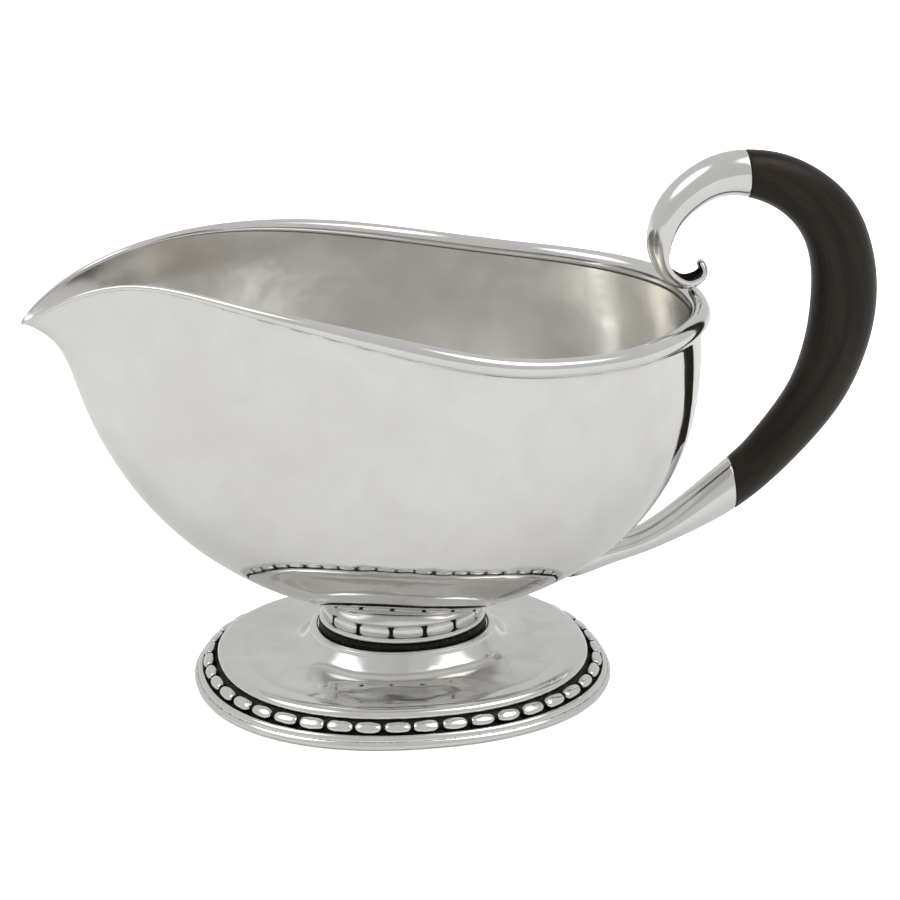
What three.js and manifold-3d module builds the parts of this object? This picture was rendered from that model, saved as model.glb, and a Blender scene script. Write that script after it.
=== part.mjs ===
// Silver sauce boat with an ebony handle: a raised oval bowl with a drawn spout and a wired rim, on an oval
// foot with a bead border, and a scrolled handle whose grip is held in two silver sockets.
// Millimetres, +Z up, spout towards -X, handle towards +X, standing on Z = 0.
import * as THREE from 'three';
import { mergeVertices } from 'three/addons/utils/BufferGeometryUtils.js';
import Module from 'manifold-3d';

const wasm = await Module();
wasm.setup();

// ---------------------------------------------------------------- driving dimensions
const GAP = 0.3; // clearance where one piece rests on, or is cut to fit, another
const SHEET = 1.3; // thickness of the raised silver

// Rim of the bowl from the spout tip round one side to the back: [along, half width, height].
const RIM = [
  [-87.2, 0, 93.8], [-84.0, 3.6, 96.6], [-75, 7.8, 101.8], [-65, 12.6, 104.9], [-54, 20.6, 105.5],
  [-40, 31.6, 104.0], [-22, 41.5, 101.0], [-4, 47.7, 97.2], [13, 49.7, 93.7], [30, 46.4, 91.4],
  [46, 39.6, 90.4], [59, 28.8, 90.3], [67.6, 14.8, 90.3], [69.9, 0, 90.3],
];
const RIM_STEPS = 2; // faces between two neighbouring rim points
const BOWL_BOTTOM = 17.7; // height of the lowest point of the bowl
const BOWL_LEVELS = 12;
const WIDEST_AT = 13; // where along the length the rim is widest
const HALF_WIDTH = 49.7;
const SPOUT_REACH = 77.4; // from the middle to the breast below the spout
const SPOUT_FLARE = 9.6; // how far the lip turns out beyond the breast
const BACK_REACH = 72.1;
const BACK_SWELL = [2.68, 2.05]; // the two powers of the upright curves, fuller with larger powers
const SPOUT_SWELL = [1.84, 1.99];
const SIDE_SWELL = [2.53, 1.93];
const PINCH_POWER = 1.8; // how quickly the oval body draws in to the rim's plan
const FLARE_POWER = [3, 15]; // how late the lip turns out: at the sides, and what is added at the tip

const WIRE_RADIUS = [0.6, 2.1]; // rim wire at the spout, and at the sides
const WIRE_TAPER = [-70, 5]; // where it grows from one to the other
const BACK_WIRE = { thicker: 0.35, from: 35, to: 68 }; // and how much thicker it ends at the back
const WIRE_SIDES = 8;

const FOOT_RATIO = 0.881; // width of the oval foot and neck against their length
const FOOT_POWER = 2.19; // of the foot's oval, a little fuller than the neck's plain ellipse
const FOOT_SEGMENTS = 40;
const BEAD_COUNT = 42;
const BEAD_START = 0.72; // place of the first link past the oval's handle end, in beads
const BEAD_LINE = { radius: 46.55, height: 4.6, power: FOOT_POWER };
const BEAD_RADII = [0.6, 1.15, 1.3, 1.15]; // from the link between two beads, over one bead
const BEAD_SIDES = 6;
const PILLOW_COUNT = 14;
const PILLOW_START = 0.79; // place of the first waist, as for the beads
const PILLOW_STEPS = 6; // rings from one waist to the next
const PILLOW_SIDES = 6;
const PILLOW_LINE = { radius: 18.3, height: 17.45 };
const PILLOW = { depth: 1.2, rise: 1.15, waist: 0.55 };

// Handle from the curled tip over the scroll, grip and lower socket to the bowl's underside, as the outer
// and the inner edge of its side view and half its width: [outer x, z, inner x, z, half width].
const HANDLE = [
  [72.0, 99.9, 70.4, 99.3, 1.0], [73.1, 97.6, 70.9, 97.9, 2.2], [72.5, 95.0, 70.8, 96.9, 2.8],
  [69.1, 92.9, 68.7, 96.2, 3.2], [64.5, 93.8, 66.5, 97.2, 3.6], [60.4, 98.0, 64.3, 100.2, 3.9],
  [58.4, 105.5, 65.2, 104.9, 4.3], [61.9, 115.6, 67.6, 109.7, 4.6], [71.3, 123.4, 74.4, 114.4, 4.8],
  [81.9, 125.6, 82.3, 114.3, 5.0],
  [93.5, 123.2, 89.6, 111.0, 5.5], [103.8, 116.7, 94.9, 105.9, 6.0], [110.6, 107.8, 97.7, 100.2, 6.4],
  [114.4, 95.0, 98.9, 93.0, 6.7], [114.2, 81.0, 98.6, 83.4, 6.7], [110.1, 67.7, 97.1, 75.1, 6.4],
  [103.1, 56.6, 93.2, 65.3, 6.1], [92.0, 44.9, 85.3, 54.6, 5.8],
  [81.2, 36.5, 79.9, 49.4, 5.4],
  [70.9, 31.4, 68.3, 40.0, 4.8], [60.0, 27.2, 57.7, 33.0, 4.2], [50.0, 24.1, 48.5, 30.2, 3.5],
  [42.0, 21.6, 41.8, 28.0, 2.8], [35.5, 22.3, 35.2, 25.4, 1.8],
];
const UPPER_JOINT = 9; // station where the scroll's socket meets the grip
const LOWER_JOINT = 18; // station where the grip meets the lower socket
const TENON_SCALE = 0.6;
const TENON_LENGTH = 0.85; // in stations
const TENON_ROOT = 0.3; // how far a tenon's body starts inside the grip, in stations
const JOINT_GAP = 0.03; // between the grip's end and a socket, in stations
const HANDLE_SIDES = 14;
const GROOVE = { from: 1.5, full: 3, to: 8.7, depth: 0.55, power: 5 };
const PIN_RADIUS = 0.75;
const PIN_SINK = 0.9; // how far a pin's tip goes into the socket wall beyond the tenon
const PIN_SIDES = 16;
const PIN_SETBACK = 0.1;

const SILVER = { color: 0xd9d8d4, roughness: 0.16, metalness: 1 };
const DARK_SILVER = { color: 0x2a2826, roughness: 0.5, metalness: 1 };
const EBONY = { color: 0x2b2622, roughness: 0.42, metalness: 0 };

const { clamp, smoothstep, lerp } = THREE.MathUtils;
const group = new THREE.Group();

// ---------------------------------------------------------------- building closed bodies

function signedVolume(geometry) {
  const p = geometry.attributes.position;
  const [a, b, c] = [new THREE.Vector3(), new THREE.Vector3(), new THREE.Vector3()];
  let volume = 0;
  for (let i = 0; i < geometry.index.count; i += 3) {
    a.fromBufferAttribute(p, geometry.index.getX(i));
    b.fromBufferAttribute(p, geometry.index.getX(i + 1));
    c.fromBufferAttribute(p, geometry.index.getX(i + 2));
    volume += a.dot(b.cross(c)) / 6;
  }
  return volume;
}

// Joins equal vertices, drops faces that have collapsed and turns the faces outward.
function closedBody(source) {
  const bare = source.clone();
  bare.deleteAttribute('normal');
  bare.deleteAttribute('uv');
  const merged = mergeVertices(bare, 1e-4);
  const faces = [];
  for (let i = 0; i < merged.index.count; i += 3) {
    const [a, b, c] = [0, 1, 2].map((k) => merged.index.getX(i + k));
    if (a !== b && b !== c && c !== a) faces.push([a, b, c]);
  }
  merged.setIndex(faces.flat());
  if (signedVolume(merged) < 0) merged.setIndex(faces.flatMap(([a, b, c]) => [a, c, b]));
  return merged;
}

// Skins a list of rings of points. Looped rings close on themselves; others are capped at both ends.
function skin(rings, looped = false) {
  const sides = rings[0].length;
  const points = rings.flat();
  const faces = [];
  const bands = looped ? rings.length : rings.length - 1;
  for (let r = 0; r < bands; r += 1) {
    const next = (r + 1) % rings.length;
    for (let i = 0; i < sides; i += 1) {
      const j = (i + 1) % sides;
      const [a, b, c, d] = [r * sides + i, r * sides + j, next * sides + j, next * sides + i];
      faces.push(a, b, c, a, c, d);
    }
  }
  if (!looped) {
    const ends = [[0, 1], [rings.length - 1, -1]];
    for (const [r, turn] of ends) {
      const hub = points.push(centreOf(rings[r])) - 1;
      for (let i = 0; i < sides; i += 1) {
        const j = (i + 1) % sides;
        const edge = turn > 0 ? [r * sides + j, r * sides + i] : [r * sides + i, r * sides + j];
        faces.push(...edge, hub);
      }
    }
  }
  const geometry = new THREE.BufferGeometry().setFromPoints(points);
  geometry.setIndex(faces);
  return closedBody(geometry);
}

function centreOf(points) {
  const sum = points.reduce((total, point) => total.add(point), new THREE.Vector3());
  return sum.divideScalar(points.length);
}

// Point of an oval of the foot or neck; power 2 is a plain ellipse and larger ones are fuller.
function ovalPoint(turn, radius, height, power) {
  const [x, y] = [Math.cos(turn), Math.sin(turn)];
  const reach = radius * (Math.abs(x) ** power + Math.abs(y) ** power) ** (-1 / power);
  return new THREE.Vector3(reach * x, reach * y * FOOT_RATIO, height);
}

// An oval ring or dish from the closed outline of its section: [radius along X, height].
function ovalRing(outline, power = 2) {
  return skin(Array.from({ length: FOOT_SEGMENTS }, (_, i) => {
    const turn = 2 * Math.PI * i / FOOT_SEGMENTS;
    return outline.map(([radius, height]) => ovalPoint(turn, radius, height, power));
  }), true);
}

function toSolid(geometry) {
  return new wasm.Manifold(new wasm.Mesh({
    numProp: 3,
    vertProperties: new Float32Array(geometry.attributes.position.array),
    triVerts: new Uint32Array(geometry.index.array),
  }));
}

// The largest piece of a solid, as a geometry.
function toGeometry(solid) {
  const pieces = solid.decompose().sort((a, b) => b.volume() - a.volume());
  const mesh = pieces[0].getMesh();
  const geometry = new THREE.BufferGeometry();
  geometry.setAttribute('position', new THREE.BufferAttribute(mesh.vertProperties, 3));
  geometry.setIndex(new THREE.BufferAttribute(mesh.triVerts, 1));
  return closedBody(geometry);
}

function add(name, geometry, look) {
  const piece = new THREE.Mesh(geometry, new THREE.MeshStandardMaterial(look));
  piece.name = name;
  group.add(piece);
}

// ---------------------------------------------------------------- bowl and rim wire

function rimLoop() {
  const oneSide = RIM.map(([x, y, z]) => new THREE.Vector3(x, y, z));
  const otherSide = RIM.slice(1, -1).reverse().map(([x, y, z]) => new THREE.Vector3(x, -y, z));
  const loop = new THREE.CatmullRomCurve3([...oneSide, ...otherSide], true);
  return loop.getPoints(2 * (RIM.length - 1) * RIM_STEPS).slice(0, -1);
}

function swell(rise, [bend, round]) {
  return (1 - (1 - rise) ** bend) ** (1 / round);
}

// Cosine of the angle round the egg-shaped oval at which a rim point lies: 1 at the spout, -1 at the back.
function eggCosine(x) {
  const front = WIDEST_AT - RIM[0][0];
  const back = RIM.at(-1)[0] - WIDEST_AT;
  const [mean, lean] = [(front + back) / 2, (front - back) / 2];
  const root = Math.sqrt(mean ** 2 + 4 * lean * (WIDEST_AT - x));
  return clamp((root - mean) / (2 * lean), -1, 1);
}

// Half of the body's station along X for one angle and one relative height.
function stationAt(cosine, rise) {
  const middle = WIDEST_AT * Math.sqrt(rise);
  const front = SPOUT_REACH * swell(rise, SPOUT_SWELL) + middle;
  const back = BACK_REACH * swell(rise, BACK_SWELL) - middle;
  const late = FLARE_POWER[0] + FLARE_POWER[1] * cosine ** 4;
  const flare = cosine > 0 ? SPOUT_FLARE * rise ** late * cosine ** 2 : 0;
  return middle - (front + back) / 2 * cosine - (front - back) / 2 * cosine ** 2 - flare;
}

// Point of the bowl's outside below one rim point, from 0 at the bottom to 1 at the rim.
function bowlPoint(rim, rise) {
  const cosine = eggCosine(rim.x);
  const sine = Math.sqrt(1 - cosine ** 2) * Math.sign(rim.y);
  const drift = rim.x - stationAt(cosine, 1);
  const plan = lerp(sine, rim.y / HALF_WIDTH, rise ** PINCH_POWER);
  return new THREE.Vector3(
    stationAt(cosine, rise) + drift * rise ** 3,
    HALF_WIDTH * swell(rise, SIDE_SWELL) * plan,
    lerp(BOWL_BOTTOM, rim.z, rise),
  );
}

function wireRadius(x) {
  const { thicker, from, to } = BACK_WIRE;
  return lerp(...WIRE_RADIUS, smoothstep(x, ...WIRE_TAPER)) + thicker * smoothstep(x, from, to);
}

// Relative height at which the sheet ends, just clear of the wire that lies along the rim.
function sheetTop(rim) {
  const clear = wireRadius(rim.x) + GAP;
  let rise = 1;
  while (bowlPoint(rim, rise).distanceTo(rim) < clear) rise -= 0.0005;
  return rise;
}

function bowlRings(rims, tops) {
  return Array.from({ length: BOWL_LEVELS }, (_, level) => {
    const share = Math.sin(Math.PI / 2 * (level + 1) / BOWL_LEVELS) ** 3;
    return rims.map((rim, i) => bowlPoint(rim, tops[i] * share));
  });
}

// The same rings moved along the surface's outward normals.
function offsetRings(rings, distance) {
  const last = rings.length - 1;
  return rings.map((ring, level) => ring.map((point, i) => {
    const count = ring.length;
    const around = ring[(i + 1) % count].clone().sub(ring[(i + count - 1) % count]);
    const up = rings[Math.min(level + 1, last)][i].clone().sub(rings[Math.max(level - 1, 0)][i]);
    return point.clone().addScaledVector(up.cross(around).normalize(), distance);
  }));
}

const rims = rimLoop();
const outside = bowlRings(rims, rims.map(sheetTop));
const inside = offsetRings(outside, -SHEET);
add('bowl', skin([...outside, ...inside.reverse()]), SILVER);
const bowlKeepOut = toSolid(skin(offsetRings(outside, GAP)));

// A closed wire round a loop of points; radius(index) gives its half height and half depth.
function loopWire(points, sides, radius) {
  const count = points.length;
  return skin(points.map((point, i) => {
    const along = points[(i + 1) % count].clone().sub(points[(i + count - 1) % count]).normalize();
    const out = new THREE.Vector3(along.y, -along.x, 0).normalize();
    const up = out.clone().cross(along).normalize();
    const [deep, high] = radius(i);
    return Array.from({ length: sides }, (_, k) => {
      const turn = 2 * Math.PI * k / sides;
      const offset = out.clone().multiplyScalar(deep * Math.cos(turn));
      return point.clone().add(offset).addScaledVector(up, high * Math.sin(turn));
    });
  }), true);
}

add('rim_wire', loopWire(rims, WIRE_SIDES, (i) => {
  const radius = wireRadius(rims[i].x);
  return [radius, radius];
}), SILVER);

// ---------------------------------------------------------------- foot

// Evenly spaced points round the oval; start is the first one's share of the way round.
function ovalLoop({ radius, height, power = 2 }, count, start) {
  const knots = Array.from({ length: 120 }, (_, i) => ovalPoint(Math.PI * i / 60, radius, height, power));
  const oval = new THREE.CatmullRomCurve3(knots, true);
  oval.arcLengthDivisions = 960;
  return Array.from({ length: count }, (_, i) => oval.getPointAt((i / count + start) % 1));
}

// Solid edge moulding in two rolls, with the flat that the boat stands on and the bed of the bead wire.
add('foot_edge_moulding', ovalRing([
  [43.2, 0], [49.0, 0], [49.7, 0.4], [49.95, 1.05], [49.6, 1.7], [49.0, 2.0], [48.95, 2.7], [48.6, 3.25],
  [48.1, 3.35], [47.5, 2.4], [43.2, 3.9],
], FOOT_POWER), SILVER);

add('foot_bead_wire', loopWire(
  ovalLoop(BEAD_LINE, BEAD_COUNT * BEAD_RADII.length, BEAD_START / BEAD_COUNT),
  BEAD_SIDES,
  (i) => {
    const radius = BEAD_RADII[i % BEAD_RADII.length];
    return [radius, radius];
  },
), SILVER);

add('foot_inner_wire', ovalRing([
  [43.4, 5.3], [44.2, 5.6], [44.4, 6.4], [43.9, 7.1], [42.9, 7.6], [41.4, 7.7], [40.6, 7.5], [41.4, 7.15],
  [42.7, 6.3],
], FOOT_POWER), SILVER);

// Bell-shaped dish, open underneath and at the middle, where the neck passes through.
const DISH_TOP = [
  [42.9, 0.8], [42.9, 4.9], [42.4, 5.9], [41.2, 6.8], [38.0, 7.3], [33.0, 7.3], [29.0, 7.6], [26.4, 8.2],
  [24.6, 9.3], [23.3, 10.7], [22.2, 12.1], [21.5, 13.1], [20.8, 13.3], [20.45, 12.7], [17.2, 12.65],
];
const DISH_BELOW = [
  [17.2, 11.35], [20.2, 11.35], [21.3, 10.7], [22.5, 9.5], [23.8, 8.1], [25.8, 6.9], [28.6, 6.3],
  [33.0, 6.0], [37.6, 6.0], [40.4, 5.7], [41.6, 4.7], [41.6, 0.8],
];
add('foot_dish', ovalRing([...DISH_TOP, ...DISH_BELOW], FOOT_POWER), SILVER);

// ---------------------------------------------------------------- neck

// Recessed dark wire between the dish and the neck's flange.
add('neck_dark_wire', ovalRing([
  [17.2, 12.95], [19.7, 12.95], [20.1, 13.4], [20.1, 14.1], [19.6, 14.6], [17.2, 14.6],
]), DARK_SILVER);

add('neck_flange', ovalRing([
  [16.7, 14.9], [19.5, 14.9], [19.85, 15.25], [19.85, 15.7], [19.4, 16.0], [16.7, 16.0],
]), SILVER);

// Pillow-shaped beads round the neck, one body, with waists between them.
function pillowBand() {
  const { depth, rise, waist } = PILLOW;
  const points = ovalLoop(PILLOW_LINE, PILLOW_COUNT * PILLOW_STEPS, PILLOW_START / PILLOW_COUNT);
  return loopWire(points, PILLOW_SIDES, (i) => {
    const swollen = Math.abs(Math.sin(Math.PI * i / PILLOW_STEPS)) ** 0.4;
    return [lerp(waist, 1, swollen) * depth, lerp(waist, 1, swollen) * rise];
  });
}
const pillows = toSolid(pillowBand()).subtract(bowlKeepOut);
add('neck_bead_band', toGeometry(pillows), SILVER);

// Oval tube from the dish to the bowl, with a plain collar above the beads, shaped to the bowl's underside.
const tube = toSolid(ovalRing([
  [15.2, 9.8], [16.4, 9.8], [16.4, 18.9], [19.0, 18.9], [19.0, 26], [15.2, 26],
]));
add('neck_tube', toGeometry(tube.subtract(bowlKeepOut)), SILVER);

// ---------------------------------------------------------------- handle

const outerEdge = new THREE.CatmullRomCurve3(HANDLE.map(([x, z, , , w]) => new THREE.Vector3(x, w, z)));
const innerEdge = new THREE.CatmullRomCurve3(HANDLE.map(([, , x, z, w]) => new THREE.Vector3(x, w, z)));

// Middle, half thickness vector and half width of the handle at a station.
function handleAt(station) {
  const share = station / (HANDLE.length - 1);
  const [outer, inner] = [outerEdge.getPoint(share), innerEdge.getPoint(share)];
  const width = outer.y;
  outer.y = 0;
  inner.y = 0;
  const thick = outer.clone().sub(inner).multiplyScalar(0.5);
  return { middle: outer.add(inner).multiplyScalar(0.5), thick, width };
}

// Depth of the open channel along the scroll's inner side, as a share of half the thickness.
function grooveAt(station) {
  const { from, full, to, depth } = GROOVE;
  return depth * smoothstep(station, from, full) * (1 - smoothstep(station, full, to));
}

// Body along the handle between two stations: scaled about its middle line, then grown all round.
function handleSweep({ from, to, steps, scale = 1, grow = 0, grooved = false }) {
  return skin(Array.from({ length: steps + 1 }, (_, step) => {
    const station = lerp(from, to, step / steps);
    const { middle, thick, width } = handleAt(station);
    const half = thick.length();
    const groove = grooved ? grooveAt(station) : 0;
    return Array.from({ length: HANDLE_SIDES }, (__, k) => {
      const turn = 2 * Math.PI * k / HANDLE_SIDES;
      const cut = groove * Math.max(0, -Math.cos(turn)) ** GROOVE.power;
      const out = (Math.cos(turn) + cut) * (scale + grow / half);
      const side = (width * scale + grow) * Math.sin(turn);
      return middle.clone().addScaledVector(thick, out).add(new THREE.Vector3(0, side, 0));
    });
  }));
}

// A pin driven from the far side, flush with the socket, through the tenon and into the near wall.
function pinBody(station, grow) {
  const { middle, width } = handleAt(station);
  const tip = -(width * TENON_SCALE + PIN_SINK + grow);
  const head = grow > 0 ? width + grow : width - PIN_SETBACK;
  const body = new THREE.CylinderGeometry(PIN_RADIUS + grow, PIN_RADIUS + grow, head - tip, PIN_SIDES);
  return closedBody(body.translate(middle.x, (head + tip) / 2, middle.z));
}

// The tenon at one end of the grip, or the seat cut for it when grown; the direction leads into the socket.
function tenonBody(joint, direction, grow) {
  const depth = TENON_LENGTH + (grow > 0 ? JOINT_GAP : 0);
  const ends = [joint - direction * TENON_ROOT, joint + direction * depth].sort((a, b) => a - b);
  return toSolid(handleSweep({ from: ends[0], to: ends[1], steps: 4, scale: TENON_SCALE, grow }));
}

const upperPinAt = UPPER_JOINT - TENON_LENGTH / 2;
const lowerPinAt = LOWER_JOINT + TENON_LENGTH / 2;
const upperHole = toSolid(pinBody(upperPinAt, GAP));
const lowerHole = toSolid(pinBody(lowerPinAt, GAP));

const gripBody = toSolid(handleSweep({ from: UPPER_JOINT, to: LOWER_JOINT, steps: 26 }));
const tenoned = gripBody.add(tenonBody(UPPER_JOINT, -1, 0)).add(tenonBody(LOWER_JOINT, 1, 0));
add('handle_grip', toGeometry(tenoned.subtract(upperHole).subtract(lowerHole)), EBONY);

const scrollEnd = UPPER_JOINT - JOINT_GAP;
const scroll = toSolid(handleSweep({ from: 0, to: scrollEnd, steps: 36, grooved: true }));
const scrollCut = scroll.subtract(tenonBody(UPPER_JOINT, -1, GAP)).subtract(upperHole);
add('upper_scroll', toGeometry(scrollCut), SILVER);

const socketStart = LOWER_JOINT + JOINT_GAP;
const socket = toSolid(handleSweep({ from: socketStart, to: HANDLE.length - 1, steps: 20 }));
const socketCut = socket.subtract(tenonBody(LOWER_JOINT, 1, GAP)).subtract(lowerHole);
add('lower_socket', toGeometry(socketCut.subtract(bowlKeepOut)), SILVER);

add('upper_pin', pinBody(upperPinAt, 0), SILVER);
add('lower_pin', pinBody(lowerPinAt, 0), SILVER);

// The origin is under the middle of the overall length.
const overall = new THREE.Box3().setFromObject(group);
group.position.x = -(overall.min.x + overall.max.x) / 2;

export default group;
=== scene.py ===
"""Looks of a silver sauce boat with an ebony handle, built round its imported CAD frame.

Lengths are millimetres from the centre of the foot, +X to the handle, +Y away, +Z up, as in the CAD
source. make_piece() turns them into the frame's metres.
"""
import math

import bmesh
import bpy
import numpy as np
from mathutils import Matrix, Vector, noise


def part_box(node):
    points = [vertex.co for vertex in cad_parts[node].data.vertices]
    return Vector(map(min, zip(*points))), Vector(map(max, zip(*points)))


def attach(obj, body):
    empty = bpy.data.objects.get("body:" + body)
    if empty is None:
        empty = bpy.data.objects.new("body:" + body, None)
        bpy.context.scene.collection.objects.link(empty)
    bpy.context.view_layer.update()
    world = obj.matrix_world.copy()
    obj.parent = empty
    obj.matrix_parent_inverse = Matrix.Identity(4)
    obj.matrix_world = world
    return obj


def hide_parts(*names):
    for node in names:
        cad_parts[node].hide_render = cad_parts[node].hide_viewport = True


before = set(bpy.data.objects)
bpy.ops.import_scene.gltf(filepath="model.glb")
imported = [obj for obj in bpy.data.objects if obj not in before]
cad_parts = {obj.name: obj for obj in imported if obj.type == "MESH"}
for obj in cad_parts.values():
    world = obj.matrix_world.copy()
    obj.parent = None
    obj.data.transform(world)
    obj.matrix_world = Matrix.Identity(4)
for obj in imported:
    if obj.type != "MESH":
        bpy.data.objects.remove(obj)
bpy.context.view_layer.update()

MM = 0.001
foot_low, foot_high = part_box("foot_edge_moulding")
FOOT_CENTRE = np.array([(foot_low.x + foot_high.x) / 2 / MM, 0, 0])
TURN = 2 * math.pi

# ---------------------------------------------------------------- dimensions, as in the CAD source
SHEET = 1.3
RIM = [
    (-87.2, 0, 93.8), (-84.0, 3.6, 96.6), (-75, 7.8, 101.8), (-65, 12.6, 104.9), (-54, 20.6, 105.5),
    (-40, 31.6, 104.0), (-22, 41.5, 101.0), (-4, 47.7, 97.2), (13, 49.7, 93.7), (30, 46.4, 91.4),
    (46, 39.6, 90.4), (59, 28.8, 90.3), (67.6, 14.8, 90.3), (69.9, 0, 90.3),
]
BOWL_BOTTOM = 17.7
WIDEST_AT = 13
HALF_WIDTH = 49.7
SPOUT_REACH = 77.4
SPOUT_FLARE = 9.6
BACK_REACH = 72.1
BACK_SWELL = (2.68, 2.05)
SPOUT_SWELL = (1.84, 1.99)
SIDE_SWELL = (2.53, 1.93)
PINCH_POWER = 1.8
FLARE_POWER = (3, 15)
WIRE_RADIUS = (0.6, 2.1)
WIRE_TAPER = (-70, 5)
BACK_WIRE = {"thicker": 0.35, "start": 35, "end": 68}

FOOT_RATIO = 0.881
FOOT_POWER = 2.19
BEAD_COUNT = 42
BEAD_START = 0.72
BEAD_LINE = {"radius": 46.55, "height": 4.6, "power": FOOT_POWER}
PILLOW_COUNT = 14
PILLOW_START = 0.79
PILLOW_LINE = {"radius": 18.3, "height": 17.45}

HANDLE = np.array([
    (72.0, 99.9, 70.4, 99.3, 1.0), (73.1, 97.6, 70.9, 97.9, 2.2), (72.5, 95.0, 70.8, 96.9, 2.8),
    (69.1, 92.9, 68.7, 96.2, 3.2), (64.5, 93.8, 66.5, 97.2, 3.6), (60.4, 98.0, 64.3, 100.2, 3.9),
    (58.4, 105.5, 65.2, 104.9, 4.3), (61.9, 115.6, 67.6, 109.7, 4.6), (71.3, 123.4, 74.4, 114.4, 4.8),
    (81.9, 125.6, 82.3, 114.3, 5.0),
    (93.5, 123.2, 89.6, 111.0, 5.5), (103.8, 116.7, 94.9, 105.9, 6.0), (110.6, 107.8, 97.7, 100.2, 6.4),
    (114.4, 95.0, 98.9, 93.0, 6.7), (114.2, 81.0, 98.6, 83.4, 6.7), (110.1, 67.7, 97.1, 75.1, 6.4),
    (103.1, 56.6, 93.2, 65.3, 6.1), (92.0, 44.9, 85.3, 54.6, 5.8),
    (81.2, 36.5, 79.9, 49.4, 5.4),
    (70.9, 31.4, 68.3, 40.0, 4.8), (60.0, 27.2, 57.7, 33.0, 4.2), (50.0, 24.1, 48.5, 30.2, 3.5),
    (42.0, 21.6, 41.8, 28.0, 2.8), (35.5, 22.3, 35.2, 25.4, 1.8),
])
UPPER_JOINT = 9
LOWER_JOINT = 18
TENON_SCALE = 0.6
TENON_LENGTH = 0.85
PIN_RADIUS = 0.75

# ---------------------------------------------------------------- camera
CAMERA_TARGET = np.array([12.0, 2.0, 55.4])
CAMERA_AZIMUTH = -11  # degrees, as the elevation
CAMERA_ELEVATION = 20.5
CAMERA_DISTANCE = 782
FIELD_WIDTH = 212.9  # what the picture is wide at the target
SENSOR = 36

# ---------------------------------------------------------------- light
TENT = (0.67, 0.62)  # radiance of the white tent: behind the boat, and towards the camera
LAMPS = [  # azimuth from the camera's side, elevation, half width and feather in degrees, radiance
    (-74, 54, 14, 9, 1.7),
    (70, 56, 15, 8, 2.1),
]
FLOOR_MIRRORED = (0.99, 0.987, 0.978)
FLOOR_SEEN = (2.0, 2.0, 2.0)
FLOOR_HALF = 4000  # half of its side
FLOOR_DROP = 0.05  # how far below the foot it lies


# ---------------------------------------------------------------- curves
def smoothstep(value, low, high):
    share = np.clip((np.asarray(value, float) - low) / (high - low), 0, 1)
    return share * share * (3 - 2 * share)


def lerp(a, b, share):
    return a + (b - a) * share


def unit(vectors):
    return vectors / np.maximum(np.linalg.norm(vectors, axis=-1, keepdims=True), 1e-12)


def cubic_through(knots, points, at):
    """Points at the given places on the smooth cubic through points at knots."""
    gaps = np.diff(knots)
    slopes = np.diff(points, axis=0) / gaps[:, None]
    size = len(knots)
    system = np.eye(size)
    right = np.zeros_like(points)
    for i in range(1, size - 1):
        system[i, i - 1:i + 2] = gaps[i - 1] / 6, (gaps[i - 1] + gaps[i]) / 3, gaps[i] / 6
        right[i] = slopes[i] - slopes[i - 1]
    bend = np.linalg.solve(system, right)
    k = np.clip(np.searchsorted(knots, at, side="right") - 1, 0, size - 2)
    before = ((knots[k + 1] - at) / gaps[k])[:, None]
    after = 1 - before
    curved = (before**3 - before) * bend[k] + (after**3 - after) * bend[k + 1]
    return before * points[k] + after * points[k + 1] + curved * (gaps[k]**2 / 6)[:, None]


def arc_lengths(track):
    return np.concatenate([[0], np.cumsum(np.linalg.norm(np.diff(track, axis=0), axis=1))])


def evenly(track, count):
    """count points evenly spaced along a track, both ends included."""
    lengths = arc_lengths(track)
    at = np.linspace(0, lengths[-1], count)
    return np.stack([np.interp(at, lengths, track[:, k]) for k in range(track.shape[1])], axis=1)


def even_turns(count):
    """count angles evenly spaced round a full turn."""
    return np.arange(count) / count * TURN


def knots_along(points):
    """A knot for each point, further apart the longer the step between two points is."""
    return np.concatenate([[0], np.cumsum(np.sqrt(np.linalg.norm(np.diff(points, axis=0), axis=1)))])


def open_curve(points, count):
    """count evenly spaced points on the smooth curve through points."""
    points = np.asarray(points, float)
    knots = knots_along(points)
    return evenly(cubic_through(knots, points, np.linspace(0, knots[-1], 20 * len(points))), count)


def closed_curve(points, count):
    """count evenly spaced points on the smooth loop through points, from the first one on."""
    overlap = 5
    points = np.asarray(points, float)
    track = np.vstack([points[-overlap:], points, points[:overlap + 1]])
    knots = knots_along(track)
    lap = np.linspace(knots[overlap], knots[overlap + len(points)], 60 * len(points))
    return evenly(cubic_through(knots, track, lap), count + 1)[:-1]


def oval_points(turn, radius, height, power=2.0):
    """Points of an oval of the foot or neck; power 2 is a plain ellipse and larger ones are fuller."""
    reach = radius * (np.abs(np.cos(turn))**power + np.abs(np.sin(turn))**power)**(-1 / power)
    across = reach * FOOT_RATIO * np.sin(turn)
    return np.stack([reach * np.cos(turn), across, height + 0 * reach], axis=-1)


def oval_loop(count, start=0.0, **line):
    """Evenly spaced points round an oval; start is the first one's share of the way round."""
    track = oval_points(np.linspace(0, TURN, 4001), **line)
    lengths = arc_lengths(track) / arc_lengths(track)[-1]
    at = (np.arange(count) / count + start) % 1
    return np.stack([np.interp(at, lengths, track[:, k]) for k in range(3)], axis=1)


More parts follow.
